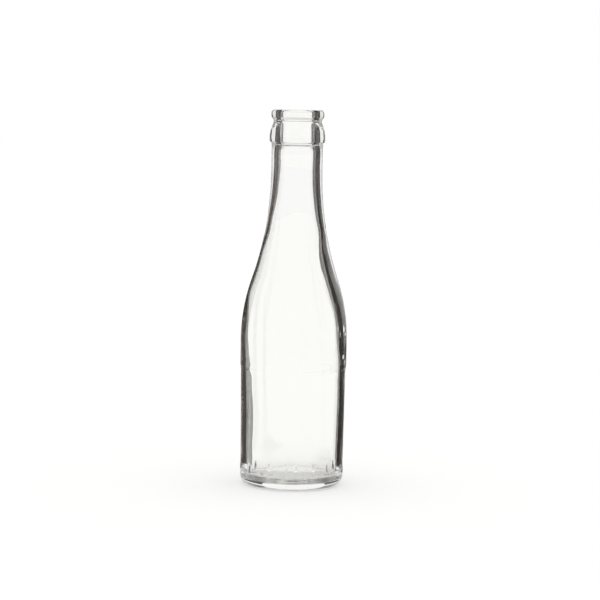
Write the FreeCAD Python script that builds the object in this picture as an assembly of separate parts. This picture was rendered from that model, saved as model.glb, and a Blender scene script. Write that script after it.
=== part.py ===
import FreeCAD
import Part
import math
import os

# An empty soda bottle of clear glass, blown in one piece, with a mouth for a crown cork.
# Millimetres, +Z up. The bottle stands on z = 0 and its axis is Z.

# Whole bottle
overall_height = 190.0
body_diameter = 53.7  # on the shoulder band, the widest place

# Mouth: the lip that a crown cork grips, the groove under it and the bead below
lip_diameter = 26.5
lip_round = 1.5  # from the sealing top to the lip's upright face
lip_land = 1.7  # height of that upright face
lip_underside = 1.1  # height of the convex turn under the face
groove_depth = 1.2  # per side, from the lip
groove_upper = 1.7  # heights of the groove's hollow above and below its narrowest place
groove_lower = 0.9
bead_diameter = 28.0
bead_swell = 7.8  # height of the swelling flank
bead_land = 1.2  # height of the bead's upright face
bead_edge = 0.7  # height of the convex edge under that face
bead_fillet = 0.35  # height of the hollow corner against the neck

# Neck and shoulder
neck_diameter = 26.0
neck_length = 14.5  # upright stretch under the bead
hollow_height = 54.0  # the shoulder's upper part curves outwards
round_height = 30.5  # its lower part rounds over into the body

# Body: a shoulder band and a heel band take the knocks, the panel between them lies back
band_height = 11.5
panel_step = 5.0  # height of the soft step from the shoulder band to the panel
panel_recess_top = 0.4  # per side, from the shoulder band
panel_recess_foot = 0.9
heel_step = 2.5  # height of the step from the panel to the heel band
heel_recess = 0.7
heel_band = 3.5

# Base
heel_round = 5.0
bearing_width = 1.8  # flat ring that the bottle stands on
push_up = 2.0  # height of the hollow under the base
push_up_edge = 4.5  # width of the convex turn beside the bearing ring

# Inside
bore_diameter = 17.5
bore_length = 13.0  # straight stretch under the rounded edge of the mouth
mouth_round = 1.0
bore_flare = 9.0  # height over which the bore widens into the throat
throat_diameter = 19.0
inner_round = 28.0  # height over which the wall rounds from the body into the shoulder
body_wall = 2.5  # at the shoulder band
panel_wall = 2.6  # at the panel's foot
base_thickness = 5.0  # in the middle, over the push-up
floor_crown = 1.0  # the floor's middle stands this much above its edge
floor_round = 3.0

# Radii and levels that the outside and the inside share
body_radius = body_diameter / 2
panel_foot_radius = body_radius - panel_recess_foot
lip_height = lip_round + lip_land
groove_height = lip_underside + groove_upper
flank_height = groove_lower + bead_swell
step_height = bead_edge + bead_fillet
shoulder_height = hollow_height + round_height
groove_level = overall_height - lip_height - groove_height
bead_level = groove_level - flank_height
neck_top = bead_level - bead_land - step_height
neck_foot = neck_top - neck_length
band_top = neck_foot - shoulder_height

straight_area = 1e-6  # square mm between an arc and its chord, under which it is a line


def arc_middle(tangent_end, other_end, upright):
    """Middle of the arc that joins two points and is upright, or else level, at the first."""
    step = other_end - tangent_end
    along, across = (step.z, step.x) if upright else (step.x, step.z)
    half_turn = math.atan(across / along)
    half_along = along / (2 * math.cos(half_turn))
    half_across = half_along * math.tan(half_turn / 2)
    if upright:
        return tangent_end + FreeCAD.Vector(half_across, 0, half_along)
    return tangent_end + FreeCAD.Vector(half_along, 0, half_across)


class Outline:
    """A half section drawn from point to point, each given by its radius and height."""

    def __init__(self, radius, height):
        self.start = FreeCAD.Vector(radius, 0, height)
        self.here = self.start
        self.edges = []

    def line(self, radius, height):
        there = FreeCAD.Vector(radius, 0, height)
        self.edges.append(Part.LineSegment(self.here, there).toShape())
        self.here = there

    def arc(self, middle, there):
        """An arc through a middle point, or a line where the three points lie on one."""
        if (there - self.here).cross(middle - self.here).Length < straight_area:
            self.line(there.x, there.z)
            return
        self.edges.append(Part.Arc(self.here, middle, there).toShape())
        self.here = there

    def bend(self, radius, height, upright):
        """One arc, upright or else level where it starts."""
        there = FreeCAD.Vector(radius, 0, height)
        self.arc(arc_middle(self.here, there, upright), there)

    def ogee(self, radius, height, first_share=0.5, upright=True):
        """Two tangent arcs, upright or else level at both ends. The first takes first_share."""
        there = FreeCAD.Vector(radius, 0, height)
        join = self.here + (there - self.here) * first_share
        self.arc(arc_middle(self.here, join, upright), join)
        self.arc(arc_middle(there, join, upright), there)

    def revolve(self):
        """Close the section along the axis and turn it into a solid."""
        self.line(0, self.here.z)
        self.line(0, self.start.z)
        section = Part.Face(Part.Wire(self.edges))
        return section.revolve(FreeCAD.Vector(0, 0, 0), FreeCAD.Vector(0, 0, 1), 360)


def mould_shape():
    """The outside, as the mould gives it, with the push-up under the base."""
    lip_radius = lip_diameter / 2
    bead_radius = bead_diameter / 2
    neck_radius = neck_diameter / 2
    heel_radius = body_radius - heel_recess
    heel_top = heel_round + heel_band
    band_foot = band_top - band_height
    bearing_outer = heel_radius - heel_round
    bearing_inner = bearing_outer - bearing_width
    outside = Outline(0, push_up)
    outside.ogee(bearing_inner, 0, 1 - push_up_edge / bearing_inner, upright=False)
    outside.line(bearing_outer, 0)
    outside.bend(heel_radius, heel_round, upright=False)
    outside.line(heel_radius, heel_top)
    outside.ogee(panel_foot_radius, heel_top + heel_step)
    outside.line(body_radius - panel_recess_top, band_foot - panel_step)
    outside.ogee(body_radius, band_foot)
    outside.line(body_radius, band_top)
    outside.ogee(neck_radius, neck_foot, round_height / shoulder_height)
    outside.line(neck_radius, neck_top)
    outside.ogee(bead_radius, neck_top + step_height, bead_fillet / step_height)
    outside.line(bead_radius, bead_level)
    outside.ogee(lip_radius - groove_depth, groove_level, bead_swell / flank_height)
    outside.ogee(lip_radius, groove_level + groove_height, groove_upper / groove_height)
    outside.line(lip_radius, overall_height - lip_round)
    outside.bend(lip_radius - lip_round, overall_height, upright=True)
    return outside.revolve()


def blown_hollow():
    """The inside: a crowned floor, a shoulder that narrows to the throat and a straight bore above."""
    bore_radius = bore_diameter / 2
    bore_top = overall_height - mouth_round
    bore_foot = bore_top - bore_length
    throat_top = bore_foot - bore_flare
    foot_radius = panel_foot_radius - panel_wall
    floor_middle = push_up + base_thickness
    floor_edge = floor_middle - floor_crown
    inside = Outline(0, floor_middle)
    inside.ogee(foot_radius - floor_round, floor_edge, upright=False)
    inside.bend(foot_radius, floor_edge + floor_round, upright=False)
    inside.line(body_radius - body_wall, band_top)
    inside.ogee(throat_diameter / 2, throat_top, inner_round / (throat_top - band_top))
    inside.ogee(bore_radius, bore_foot)
    inside.line(bore_radius, bore_top)
    inside.bend(bore_radius + mouth_round, overall_height, upright=True)
    return inside.revolve()


hollow = blown_hollow()
bottle = mould_shape().cut(hollow)
os.makedirs("parts", exist_ok=True)
bottle.exportStep("parts/glass_bottle.step")
print("brimful %.0f ml, glass %.1f ml" % (hollow.Volume / 1000, bottle.Volume / 1000))
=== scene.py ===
import bpy
import bmesh
import math
from mathutils import Matrix, Vector, noise


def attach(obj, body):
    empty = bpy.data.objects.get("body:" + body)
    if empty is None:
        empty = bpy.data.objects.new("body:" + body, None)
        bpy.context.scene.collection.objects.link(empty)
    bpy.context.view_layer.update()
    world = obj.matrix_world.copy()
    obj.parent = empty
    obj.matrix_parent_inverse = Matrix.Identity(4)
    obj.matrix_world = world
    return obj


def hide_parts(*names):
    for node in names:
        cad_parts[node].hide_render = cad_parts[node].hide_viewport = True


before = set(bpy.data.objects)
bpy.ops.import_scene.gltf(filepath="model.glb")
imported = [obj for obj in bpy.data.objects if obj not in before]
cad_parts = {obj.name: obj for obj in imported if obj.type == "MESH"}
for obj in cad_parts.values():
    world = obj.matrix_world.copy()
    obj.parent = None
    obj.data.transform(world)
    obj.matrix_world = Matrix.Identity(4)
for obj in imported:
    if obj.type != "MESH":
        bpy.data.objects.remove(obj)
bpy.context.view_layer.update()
mm = 0.001
print("frame loaded")


def srgb(hexColour):
    channels = [int(hexColour[i:i + 2], 16) / 255 for i in (1, 3, 5)]
    return [c / 12.92 if c <= 0.04045 else ((c + 0.055) / 1.055) ** 2.4 for c in channels] + [1]


# Each input is a socket to link from or a value to set
def addNode(tree, kind, inputs, **properties):
    node = tree.nodes.new(kind)
    for name, value in properties.items():
        setattr(node, name, value)
    for socket, value in inputs.items():
        if isinstance(value, bpy.types.NodeSocket):
            tree.links.new(value, node.inputs[socket])
        else:
            node.inputs[socket].default_value = value
    return node


def emptyMaterial(name):
    material = bpy.data.materials.new(name)
    material.use_nodes = True
    material.node_tree.nodes.clear()
    return material


def addObject(name, bm):
    mesh = bpy.data.meshes.new(name)
    bm.to_mesh(mesh)
    bm.free()
    made = bpy.data.objects.new(name, mesh)
    bpy.context.collection.objects.link(made)
    return made


# Bottle, sizes in mm
bottle = {
    "overallHeight": 190.0, "bodyDiameter": 53.7,
    "lipDiameter": 26.5, "lipRound": 1.5, "lipLand": 1.7, "lipUnderside": 1.1,
    "grooveDepth": 1.2, "grooveUpper": 1.7, "grooveLower": 0.9,
    "beadDiameter": 28.0, "beadSwell": 7.8, "beadLand": 1.2, "beadEdge": 0.7, "beadFillet": 0.35,
    "neckDiameter": 26.0, "neckLength": 14.5, "hollowHeight": 54.0, "roundHeight": 30.5,
    "bandHeight": 11.5, "panelStep": 5.0, "panelRecessTop": 0.4, "panelRecessFoot": 0.9,
    "heelStep": 2.5, "heelRecess": 0.7, "heelBand": 3.5, "heelRound": 5.0,
    "bearingWidth": 1.8, "pushUp": 2.0, "pushUpEdge": 4.5,
    "boreDiameter": 17.5, "boreLength": 13.0, "mouthRound": 1.0,
    "boreFlare": 9.0, "throatDiameter": 19.0,
    "innerRound": 28.0, "bodyWall": 2.5, "panelWall": 2.6,
    "baseThickness": 5.0, "floorCrown": 1.0, "floorRound": 3.0,
    "columns": 228, "sectorColumns": 12,  # round the axis
    "longStep": 2.4, "mediumStep": 1.0, "fineStep": 0.5, "stepTurn": 6.0,  # along the outline, degrees
    "onAxis": 0.01, "sameLevel": 0.0001, "weld": 0.001,  # nearer than these counts as the same place
}


def arcCentre(tangentEnd, otherEnd, upright):
    step = otherEnd - tangentEnd
    if upright:
        return tangentEnd + Vector((step.length_squared / (2 * step.x), 0, 0))
    return tangentEnd + Vector((0, 0, step.length_squared / (2 * step.z)))


def drawnEnd(spun):
    return [part for part in spun["geom_last"] if isinstance(part, bmesh.types.BMVert)][0]


def drawLine(bm, vert, radius, height, step=bottle["longStep"]):
    way = Vector((radius, 0, height)) - vert.co
    count = max(1, math.ceil(way.length / step))
    return drawnEnd(bmesh.ops.spin(bm, geom=[vert], dvec=way / count, axis=(0, 0, 1), angle=0, steps=count))


def drawArc(bm, vert, centre, end, step):
    first = vert.co - centre
    last = end - centre
    turn = math.atan2(last.z, last.x) - math.atan2(first.z, first.x)
    turn = (turn + math.pi) % (2 * math.pi) - math.pi
    byTurn = math.ceil(abs(turn) / math.radians(bottle["stepTurn"]))
    byLength = math.ceil(abs(turn) * first.length / step)
    count = max(2, byTurn, byLength)
    return drawnEnd(bmesh.ops.spin(bm, geom=[vert], cent=centre, axis=(0, -1, 0), angle=turn, steps=count))


# One arc, upright or else level where it starts
def drawBend(bm, vert, radius, height, upright, step=bottle["longStep"]):
    end = Vector((radius, 0, height))
    return drawArc(bm, vert, arcCentre(vert.co, end, upright), end, step)


# Two tangent arcs, upright or else level at both ends
def drawOgee(bm, vert, radius, height, firstShare=0.5, upright=True, step=bottle["longStep"]):
    end = Vector((radius, 0, height))
    join = vert.co.lerp(end, firstShare)
    vert = drawArc(bm, vert, arcCentre(vert.co, join, upright), join, step)
    return drawArc(bm, vert, arcCentre(end, join, upright), end, step)


def drawHalfSection(bm, hollow):
    size = bottle
    fine = size["fineStep"]
    medium = size["mediumStep"]
    top = size["overallHeight"]
    bodyRadius = size["bodyDiameter"] / 2
    neckRadius = size["neckDiameter"] / 2
    beadRadius = size["beadDiameter"] / 2
    lipRadius = size["lipDiameter"] / 2
    grooveRadius = lipRadius - size["grooveDepth"]
    heelRadius = bodyRadius - size["heelRecess"]
    footRadius = bodyRadius - size["panelRecessFoot"]
    panelTopRadius = bodyRadius - size["panelRecessTop"]
    bearingOuter = heelRadius - size["heelRound"]
    bearingInner = bearingOuter - size["bearingWidth"]
    grooveHeight = size["lipUnderside"] + size["grooveUpper"]
    flankHeight = size["grooveLower"] + size["beadSwell"]
    stepHeight = size["beadEdge"] + size["beadFillet"]
    shoulderHeight = size["hollowHeight"] + size["roundHeight"]
    grooveLevel = top - size["lipRound"] - size["lipLand"] - grooveHeight
    beadLevel = grooveLevel - flankHeight
    neckTop = beadLevel - size["beadLand"] - stepHeight
    neckFoot = neckTop - size["neckLength"]
    bandTop = neckFoot - shoulderHeight
    bandFoot = bandTop - size["bandHeight"]
    heelTop = size["heelRound"] + size["heelBand"]
    roundShare = size["roundHeight"] / shoulderHeight
    filletShare = size["beadFillet"] / stepHeight
    swellShare = size["beadSwell"] / flankHeight
    grooveShare = size["grooveUpper"] / grooveHeight
    vert = bm.verts.new((0, 0, size["pushUp"]))
    vert = drawOgee(bm, vert, bearingInner, 0, 1 - size["pushUpEdge"] / bearingInner, upright=False)
    vert = drawLine(bm, vert, bearingOuter, 0, fine)
    vert = drawBend(bm, vert, heelRadius, size["heelRound"], upright=False, step=fine)
    vert = drawLine(bm, vert, heelRadius, heelTop, fine)
    vert = drawOgee(bm, vert, footRadius, heelTop + size["heelStep"], step=fine)
    vert = drawLine(bm, vert, panelTopRadius, bandFoot - size["panelStep"])
    vert = drawOgee(bm, vert, bodyRadius, bandFoot, step=fine)
    vert = drawLine(bm, vert, bodyRadius, bandTop, fine)
    vert = drawOgee(bm, vert, neckRadius, neckFoot, roundShare, step=medium)
    vert = drawLine(bm, vert, neckRadius, neckTop)
    vert = drawOgee(bm, vert, beadRadius, neckTop + stepHeight, filletShare)
    vert = drawLine(bm, vert, beadRadius, beadLevel)
    vert = drawOgee(bm, vert, grooveRadius, grooveLevel, swellShare, step=fine)
    vert = drawOgee(bm, vert, lipRadius, grooveLevel + grooveHeight, grooveShare, step=fine)
    vert = drawLine(bm, vert, lipRadius, top - size["lipRound"])
    vert = drawBend(bm, vert, lipRadius - size["lipRound"], top, upright=True)

    boreRadius = size["boreDiameter"] / 2
    throatRadius = size["throatDiameter"] / 2
    hollowRadius = bodyRadius - size["bodyWall"]
    hollowFoot = footRadius - size["panelWall"]
    boreFoot = top - size["mouthRound"] - size["boreLength"]
    throatTop = boreFoot - size["boreFlare"]
    floorMiddle = size["pushUp"] + size["baseThickness"]
    floorEdge = floorMiddle - size["floorCrown"]
    vert = drawLine(bm, vert, boreRadius + size["mouthRound"], top)
    vert[hollow] = 1  # the vertices drawn from here on take this over
    vert = drawBend(bm, vert, boreRadius, top - size["mouthRound"], upright=False)
    vert = drawLine(bm, vert, boreRadius, boreFoot)
    vert = drawOgee(bm, vert, throatRadius, throatTop, step=medium)
    vert = drawOgee(bm, vert, hollowRadius, bandTop, 1 - size["innerRound"] / (throatTop - bandTop))
    vert = drawLine(bm, vert, hollowFoot, floorEdge + size["floorRound"])
    vert = drawBend(bm, vert, hollowFoot - size["floorRound"], floorEdge, upright=True)
    drawOgee(bm, vert, 0, floorMiddle, upright=False)
    print("outline points", len(bm.verts))


# The section is turned into one sector, which is then repeated round the axis
def turnRound(bm):
    columns = bottle["sectorColumns"]
    sector = 2 * math.pi / bottle["columns"] * columns
    copies = bottle["columns"] // columns - 1
    bmesh.ops.spin(bm, geom=bm.verts[:] + bm.edges[:], axis=(0, 0, 1), angle=sector, steps=columns)
    bmesh.ops.spin(bm, geom=bm.verts[:] + bm.edges[:] + bm.faces[:], axis=(0, 0, 1),
                   angle=sector * copies, steps=copies, use_duplicate=True)
    bmesh.ops.remove_doubles(bm, verts=bm.verts, dist=bottle["weld"])


# 1 in the middle, falling smoothly to 0 at the reach
def hump(distance, reach):
    return 0.5 + 0.5 * math.cos(math.pi * min(1, abs(distance) / reach))


# Unevenness of the blown inside, mm: at each level how far the hollow lies to the right and how much its
# radius grows, with soft waves over the whole
blown = {
    "levels": [(12, 0.1, -0.25), (34, 0.15, -0.25), (56, -0.2, -0.1), (78, -0.8, -0.65), (98, -1.4, -0.25),
               (114, -1.2, -0.1), (132, -0.4, 0.2), (150, -0.1, -0.15), (160, 0.0, -0.25), (168, 0.0, 0.0)],
    "wave": 0.16, "waveLength": 17.0,
}


def unevenInside(bm, hollow):
    levels = blown["levels"]
    lowest = levels[0][0]
    highest = levels[-1][0]
    for vert in bm.verts:
        radius = vert.co.xy.length
        if not vert[hollow] or radius < bottle["onAxis"] or vert.co.z >= highest:
            continue
        height = max(vert.co.z, lowest)
        upper = next(i for i in range(1, len(levels)) if levels[i][0] > height)
        low, high = levels[upper - 1], levels[upper]
        share = 1 - hump(height - low[0], high[0] - low[0])
        aside = low[1] + (high[1] - low[1]) * share
        wider = low[2] + (high[2] - low[2]) * share
        calm = min(1, (highest - vert.co.z) / blown["waveLength"])
        wave = noise.noise(vert.co / blown["waveLength"]) * blown["wave"] * calm
        floorFade = min(1, vert.co.z / lowest)
        vert.co.xy *= (radius + wave + wider * floorFade) / radius
        vert.co.x += aside * floorFade
        vert.co.z += wave


# Raised dots and short bars round the front of the heel, mm, and half the front in degrees
heelMarks = {
    "slots": 36, "frontHalf": 62, "kinds": ["bar", "highDot", "lowDot", "twoDots", "none"],
    "level": 9.8, "radius": 1.35, "flat": 0.55, "rise": 0.4, "barHalf": 1.5, "dotOffset": 1.6,
    "low": 6.5, "high": 13.5, "cuts": 2,
}
# Raised dots on the right of the shoulder band, mm: bearing in degrees, level, radius and rise
sideDots = {
    "places": [(-18, 80.5, 1.7, 0.32), (-14, 77.5, 1.3, 0.26),
               (-20, 66.5, 1.9, 0.36), (-15, 63.5, 1.4, 0.28)],
    "low": 59.5, "high": 84.5, "firstBearing": -29, "lastBearing": -5, "cuts": 2,
}
# Mould seams, mm: two fine ridges opposite each other that fade upwards
seam = {"bearing": -42.0, "halfWidth": 0.5, "rise": 0.08, "fadeLevel": 60.0}
# Grip marks across the bearing ring, mm
knurl = {"count": 60, "height": 0.2, "reach": 2.4}


def inHeel(point):
    return heelMarks["low"] <= point.z <= heelMarks["high"]


def inDots(point):
    bearing = math.degrees(math.atan2(point.y, point.x))
    beside = sideDots["firstBearing"] < bearing < sideDots["lastBearing"]
    return beside and sideDots["low"] <= point.z <= sideDots["high"]


# Closer columns on the outside, where marks stand
def refineColumns(bm, hollow, inZone, cuts):
    slack = bottle["sameLevel"]
    edges = []
    for edge in bm.edges:
        first, last = edge.verts
        level = abs(first.co.z - last.co.z) < slack and abs(first.co.xy.length - last.co.xy.length) < slack
        if level and not first[hollow] and inZone(first.co) and inZone(last.co):
            edges.append(edge)
    made = bmesh.ops.subdivide_edges(bm, edges=edges, cuts=cuts, use_grid_fill=True)
    half = math.pi / bottle["columns"]
    for part in made["geom_inner"]:
        if isinstance(part, bmesh.types.BMVert):
            across = math.atan2(part.co.y, part.co.x) % (2 * half) - half
            part.co.xy *= math.cos(across) / math.cos(half)  # from the chord out to the circle


def heelRise(angle, radius, height):
    marks = heelMarks
    slotTurn = 2 * math.pi / marks["slots"]
    slot = math.floor(angle / slotTurn)
    kind = marks["kinds"][slot % len(marks["kinds"])]
    fromFront = abs(angle + math.pi / 2)
    if kind == "none" or fromFront >= math.radians(marks["frontHalf"]):
        return 0
    across = (angle - (slot + 0.5) * slotTurn) * radius
    up = height - marks["level"]
    if kind == "bar":
        up = max(0, abs(up) - marks["barHalf"])
    elif kind == "highDot":
        up = up - marks["dotOffset"]
    elif kind == "lowDot":
        up = up + marks["dotOffset"]
    else:
        up = abs(up) - marks["dotOffset"]
    beyond = max(0, math.hypot(across, up) - marks["flat"])
    return hump(beyond, marks["radius"] - marks["flat"]) * marks["rise"]


def sideRise(angle, radius, height):
    rise = 0
    for bearing, level, reach, dotRise in sideDots["places"]:
        off = math.hypot((angle - math.radians(bearing)) * radius, height - level)
        rise += hump(off, reach) * dotRise
    return rise


def seamRise(angle, radius, height):
    across = math.sin(angle - math.radians(seam["bearing"])) * radius
    return hump(across, seam["halfWidth"]) * seam["rise"] * (1 - height / seam["fadeLevel"])


def mouldMarks(bm, hollow):
    refineColumns(bm, hollow, inHeel, heelMarks["cuts"])
    refineColumns(bm, hollow, inDots, sideDots["cuts"])
    bearingOuter = bottle["bodyDiameter"] / 2 - bottle["heelRecess"] - bottle["heelRound"]
    ringRadius = bearingOuter - bottle["bearingWidth"] / 2
    for vert in bm.verts:
        radius = vert.co.xy.length
        if vert[hollow] or radius < bottle["onAxis"]:
            continue
        angle = math.atan2(vert.co.y, vert.co.x)
        rise = 0
        if inHeel(vert.co):
            rise += heelRise(angle, radius, vert.co.z)
        if inDots(vert.co):
            rise += sideRise(angle, radius, vert.co.z)
        if bottle["heelRound"] < vert.co.z < seam["fadeLevel"]:
            rise += seamRise(angle, radius, vert.co.z)
        vert.co.xy *= (radius + rise) / radius
        if vert.co.z < knurl["height"] and abs(radius - ringRadius) < knurl["reach"]:
            ridge = 0.5 + 0.5 * math.cos(knurl["count"] * angle)
            vert.co.z += knurl["height"] * ridge * hump(radius - ringRadius, knurl["reach"])


def buildBottle():
    bm = bmesh.new()
    hollow = bm.verts.layers.int.new("hollow")
    drawHalfSection(bm, hollow)
    outline = [(vert.co.x, vert.co.z) for vert in bm.verts if not vert[hollow]]
    turnRound(bm)
    mouldMarks(bm, hollow)
    unevenInside(bm, hollow)
    bmesh.ops.recalc_face_normals(bm, faces=bm.faces)
    bmesh.ops.scale(bm, vec=(mm, mm, mm), verts=bm.verts)
    for face in bm.faces:
        face.smooth = True
    print("faces", len(bm.faces), "triangles", sum(len(face.verts) - 2 for face in bm.faces),
          "open edges", sum(not edge.is_manifold for edge in bm.edges))
    return addObject("bottleGlass", bm), outline


# Clear colourless glass, lengths in m. It shows the white behind it, draws dark bands along its walls and
# has faint waves, upright streaks and dull specks.
glassFinish = {
    "clear": "#fcfcfb", "scuffed": "#f3f3f0", "depthColour": "#e9e9e7", "depthDensity": 4.0, "index": 1.52,
    "waveLength": 0.009, "waveHeight": 0.00002, "waveDetail": 1.0,
    "cordWidth": 0.0016, "cordLength": 0.03, "cordHeight": 0.000003, "cordDetail": 2.0,
    "scuffSize": 0.0007, "scuffDetail": 3.0, "scuffFrom": 0.6, "scuffTo": 0.78, "scuffRoughness": 0.3,
    # Level and reach of each ring where bottles rub or stand
    "rubbed": [(0.0, 0.0007), (0.0072, 0.0022), (0.0688, 0.0055), (0.1896, 0.0005)],
}


def clearGlass():
    finish = glassFinish
    material = emptyMaterial("clearSodaLimeGlass")
    tree = material.node_tree
    place = addNode(tree, "ShaderNodeTexCoord", {}).outputs["Object"]
    level = addNode(tree, "ShaderNodeSeparateXYZ", {0: place}).outputs["Z"]

    # Long waves bend the background a little, cords draw faint upright streaks in it
    wave = addNode(tree, "ShaderNodeTexNoise", {
        "Vector": place, "Scale": 1 / finish["waveLength"], "Detail": finish["waveDetail"]})
    waved = addNode(tree, "ShaderNodeBump", {"Height": wave.outputs[0], "Distance": finish["waveHeight"]})
    stretch = (1 / finish["cordWidth"], 1 / finish["cordWidth"], 1 / finish["cordLength"])
    drawn = addNode(tree, "ShaderNodeMapping", {"Vector": place, "Scale": stretch})
    cord = addNode(tree, "ShaderNodeTexNoise", {
        "Vector": drawn.outputs[0], "Scale": 1.0, "Detail": finish["cordDetail"]})
    corded = addNode(tree, "ShaderNodeBump", {
        "Height": cord.outputs[0], "Normal": waved.outputs[0], "Distance": finish["cordHeight"]})

    # Specks of dull, slightly grey wear on the rubbed rings
    grain = addNode(tree, "ShaderNodeTexNoise", {
        "Vector": place, "Scale": 1 / finish["scuffSize"], "Detail": finish["scuffDetail"]})
    speck = addNode(tree, "ShaderNodeMapRange", {
        "Value": grain.outputs[0], "From Min": finish["scuffFrom"], "From Max": finish["scuffTo"]})
    rings = 0.0
    for height, reach in finish["rubbed"]:
        ring = addNode(tree, "ShaderNodeMath", {0: level, 1: height, 2: reach}, operation="COMPARE")
        both = addNode(tree, "ShaderNodeMath", {0: rings, 1: ring.outputs[0]}, operation="MAXIMUM")
        rings = both.outputs[0]
    wear = addNode(tree, "ShaderNodeMath", {0: speck.outputs[0], 1: rings}, operation="MULTIPLY")
    dull = addNode(tree, "ShaderNodeMath", {0: wear.outputs[0], 1: finish["scuffRoughness"]},
                   operation="MULTIPLY")
    tint = addNode(tree, "ShaderNodeMix", {
        "Factor": wear.outputs[0], "A": srgb(finish["clear"]), "B": srgb(finish["scuffed"])},
        data_type="RGBA")

    shader = addNode(tree, "ShaderNodeBsdfPrincipled", {
        "Base Color": tint.outputs["Result"], "Roughness": dull.outputs[0], "Normal": corded.outputs[0],
        "IOR": finish["index"], "Transmission Weight": 1.0})
    depth = addNode(tree, "ShaderNodeVolumeAbsorption", {
        "Color": srgb(finish["depthColour"]), "Density": finish["depthDensity"]})
    addNode(tree, "ShaderNodeOutputMaterial", {"Surface": shader.outputs[0], "Volume": depth.outputs[0]})
    return material


glass, outline = buildBottle()
glass.data.materials.append(clearGlass())
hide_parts("glass_bottle")
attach(glass, "root")
print("bottle made")

# Stage: a pale floor, in m, and white surroundings. The ambient is their light on the floor; the glow lifts
# the floor, where it is seen, towards the white behind it.
stage = {"floorSide": 12.0, "floorColour": "#e8e8e6", "glow": 0.42, "ambient": 0.75, "white": "#ffffff"}


# 1 for what the camera sees, straight or by way of the glass, and 0 for light on the floor
def seenRay(tree):
    path = addNode(tree, "ShaderNodeLightPath", {}).outputs
    straight = addNode(tree, "ShaderNodeMath", {0: path["Is Camera Ray"], 1: path["Is Glossy Ray"]},
                       operation="MAXIMUM")
    seen = addNode(tree, "ShaderNodeMath", {0: straight.outputs[0], 1: path["Is Transmission Ray"]},
                   operation="MAXIMUM")
    return seen.outputs[0]


# Matt and nearly white, so that it keeps only the bottle's soft shadow
def paleFloor():
    material = emptyMaterial("paleFloor")
    tree = material.node_tree
    base = addNode(tree, "ShaderNodeBsdfDiffuse", {"Color": srgb(stage["floorColour"])})
    strength = addNode(tree, "ShaderNodeMath", {0: seenRay(tree), 1: stage["glow"]}, operation="MULTIPLY")
    glow = addNode(tree, "ShaderNodeEmission", {"Strength": strength.outputs[0]})
    both = addNode(tree, "ShaderNodeAddShader", {0: base.outputs[0], 1: glow.outputs[0]})
    addNode(tree, "ShaderNodeOutputMaterial", {"Surface": both.outputs[0]})
    return material


def buildFloor():
    bm = bmesh.new()
    bmesh.ops.create_grid(bm, x_segments=1, y_segments=1, size=stage["floorSide"] / 2)
    floor = addObject("floor", bm)
    floor.data.materials.append(paleFloor())


def buildSurroundings():
    world = bpy.data.worlds.new("studio")
    bpy.context.scene.world = world
    world.use_nodes = True
    tree = world.node_tree
    tree.nodes.clear()
    level = addNode(tree, "ShaderNodeMapRange", {
        "Value": seenRay(tree), "To Min": stage["ambient"], "To Max": 1.0})
    white = addNode(tree, "ShaderNodeBackground", {
        "Color": srgb(stage["white"]), "Strength": level.outputs[0]})
    addNode(tree, "ShaderNodeOutputWorld", {"Surface": white.outputs[0]})


buildFloor()
buildSurroundings()

# Camera at the photograph's viewing angle: places in m, lens and sensor in mm, roll in degrees
camera = {"distance": 1.15, "height": 0.203, "aim": 0.094, "across": 0.0028, "roll": 1.08,
          "lens": 136.9, "sensorWidth": 36}


def buildCamera():
    data = bpy.data.cameras.new("camera")
    data.sensor_width = camera["sensorWidth"]
    data.lens = camera["lens"]
    eye = bpy.data.objects.new("camera", data)
    bpy.context.collection.objects.link(eye)
    place = Vector((camera["across"], -camera["distance"], camera["height"]))
    look = Vector((camera["across"], 0, camera["aim"])) - place
    turn = look.to_track_quat("-Z", "Y").to_matrix().to_4x4()
    roll = Matrix.Rotation(math.radians(camera["roll"]), 4, "Z")
    eye.matrix_world = Matrix.Translation(place) @ turn @ roll
    bpy.context.scene.camera = eye
    return eye


eye = buildCamera()
print("floor, surroundings and camera made")

# Cards on a stand that turns with the camera; only the glass sees them, and bends them into its dark bands
cardTones = {"dark": "#33302c", "grey": "#4b4742", "pale": "#dfddda"}
# Each card is a strip given by its rows of two points: x, y and z from the bottle in mm. The cards stand
# behind the bottle, far off on either hand, high up in the middle, low on the right and over the mouth.
cards = {
    "left": {"tone": "grey", "rows": [
        ((-75, 50, 78), (-107, 50, 78)), ((-40, 50, 100), (-115, 50, 105)), ((-31, 50, 122), (-130, 50, 125)),
        ((-30, 50, 140), (-150, 50, 150)), ((-30, 50, 600), (-150, 50, 600))]},
    "right": {"tone": "dark", "rows": [
        ((45, 50, 1), (140, 50, 1)), ((45, 50, 52), (140, 50, 80)), ((50, 50, 62), (140, 50, 95)),
        ((48, 50, 90), (140, 50, 110)), ((32, 50, 108), (200, 50, 125)), ((27, 50, 140), (260, 50, 150)),
        ((27, 50, 600), (260, 50, 600))]},
    "leftHigh": {"tone": "grey", "rows": [
        ((-1750, 3000, 200), (-5200, 3000, 200)), ((-1750, 3000, 4000), (-5200, 3000, 4000))]},
    "rightHigh": {"tone": "dark", "rows": [
        ((1370, 3000, 200), (5200, 3000, 200)), ((1370, 3000, 4000), (5200, 3000, 4000))]},
    "middleHigh": {"tone": "pale", "rows": [
        ((-1750, 3000, 700), (1370, 3000, 700)), ((-1750, 3000, 4000), (1370, 3000, 4000))]},
    "lowRight": {"tone": "dark", "rows": [
        ((27.6, -60, 0.6), (110, -60, 0.6)), ((27.6, 8, 0.6), (110, 8, 0.6))]},
    "overhead": {"tone": "dark", "rows": [
        ((-30, -20, 225), (30, -20, 225)), ((-30, 30, 225), (30, 30, 225))]},
}
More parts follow.
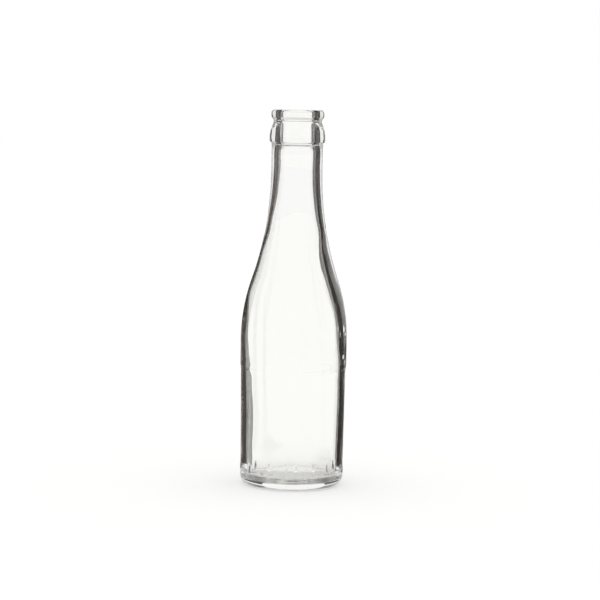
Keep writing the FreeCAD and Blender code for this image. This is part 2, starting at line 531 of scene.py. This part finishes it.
# Edge cards are cut to the bottle's outline, on its left (-1) or right (1) side. Their rows, in mm: the
# height, the gap between the bottle and the card's near edge, and how far behind the axis the card stands.
shoulderGaps = [(88, 0.02), (96, 0.1), (104.5, 0.45), (115, 1.1), (127, 1.35)]
mouthRows = [(174.2, 0.15, 3.5), (175.5, 0.15, 3.5), (179, 0.15, 3.5), (183.4, 0.4, 3.5), (184.1, 0.15, 3.5),
             (186.8, 0.1, 3.5), (189, 0.25, 3.5)]
edgeCards = {
    "bodyRight": {"tone": "dark", "side": 1, "width": 60, "rows": [
        (5, 0.2, 5), (8.5, 0.2, 5), (11, 0.2, 5), (58, 0.2, 5), (63, 0.2, 5), (74.5, 0.2, 5), (80, 0.05, 5),
        *((height, gap, 5) for height, gap in shoulderGaps), (132, 15.1, 5), (165, 17.2, 5)]},
    "bodyLeft": {"tone": "grey", "side": -1, "width": 60, "rows": [
        (5, 1.4, 14.5), (8.5, 1.4, 14.5), (11, 1.4, 14.5), (53, 1.4, 14), (63, 1.4, 12), (70, 1.4, 11.5),
        (74.5, 1.4, 10), (80, 1.25, 8.5), (88, 1.15, 7)]},
    "shoulderLeft": {"tone": "dark", "side": -1, "width": 60, "rows": [
        (height, gap, 4.5) for height, gap in shoulderGaps]},
    "mouthRight": {"tone": "dark", "side": 1, "width": 60, "rows": mouthRows},
    "mouthLeft": {"tone": "dark", "side": -1, "width": 40, "rows": mouthRows},
}


def buildStand():
    stand = bpy.data.objects.new("cardStand", None)
    bpy.context.collection.objects.link(stand)
    turn = stand.constraints.new("COPY_ROTATION")
    turn.target = eye
    turn.use_x = turn.use_y = False
    return stand


# One flat tone, whatever the light
def matBoard(tone):
    material = emptyMaterial(tone + "MatBoard")
    tree = material.node_tree
    colour = addNode(tree, "ShaderNodeEmission", {"Color": srgb(cardTones[tone])})
    addNode(tree, "ShaderNodeOutputMaterial", {"Surface": colour.outputs[0]})
    return material


stand = buildStand()
boards = {tone: matBoard(tone) for tone in cardTones}


def buildCard(name, tone, rows):
    bm = bmesh.new()
    rails = []
    for side in (0, 1):
        points = [bm.verts.new(Vector(row[side]) * mm) for row in rows]
        rails += [bm.edges.new(pair) for pair in zip(points, points[1:])]
    bmesh.ops.bridge_loops(bm, edges=rails)
    card = addObject(name + "Card", bm)
    card.parent = stand
    card.visible_camera = False
    card.visible_diffuse = False
    card.visible_shadow = False
    card.data.materials.append(boards[tone])


def outsideRadius(height):
    for (lowRadius, low), (highRadius, high) in zip(outline, outline[1:]):
        if low < height <= high:
            return lowRadius + (highRadius - lowRadius) * (height - low) / (high - low)


def edgePoints(side, width, rows):
    points = []
    for height, gap, behind in rows:
        near = math.sqrt((outsideRadius(height) + gap) ** 2 - behind ** 2)
        points.append(((side * near, behind, height), (side * width, behind, height)))
    return points


for name, card in cards.items():
    buildCard(name, card["tone"], card["rows"])
for name, card in edgeCards.items():
    buildCard(name, card["tone"], edgePoints(card["side"], card["width"], card["rows"]))
print("cards made")

# Light passes through many walls of glass before it is dropped
lightBounces = 64
bpy.context.scene.view_settings.view_transform = "Standard"
bpy.context.scene.cycles.max_bounces = lightBounces
bpy.context.scene.cycles.glossy_bounces = lightBounces
bpy.context.scene.cycles.transmission_bounces = lightBounces
